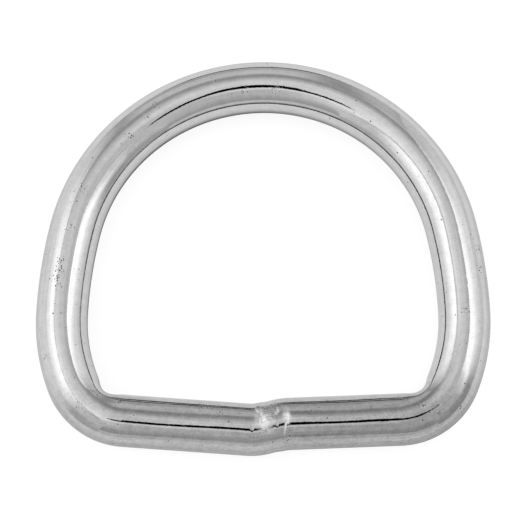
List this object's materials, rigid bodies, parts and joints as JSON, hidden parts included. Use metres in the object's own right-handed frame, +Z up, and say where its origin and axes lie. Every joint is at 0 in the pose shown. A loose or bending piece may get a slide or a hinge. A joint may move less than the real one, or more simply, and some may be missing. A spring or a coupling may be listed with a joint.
{
  "type": "welded wire d ring",
  "caption": "D-shaped ring of round plated steel wire, butt-welded in its bar. A strap loops round the slightly sagging bar and a hook or clip bears on the bow.",
  "frame": {"origin": "middle of the ring's outer box, on the plane that the ring lies on", "axes": "+Z up from that plane, +X along the bar, +Y from the bar toward the crown of the bow"},
  "size_m": [0.0524, 0.0473, 0.006],
  "materials": {
    "nickel_plate": "bright nickel plate over drawn and barrel-polished steel wire, with small pits and faint draw lines"
  },
  "bodies": {
    "root": {"ring": "nickel_plate"}
  },
  "joints": []
}
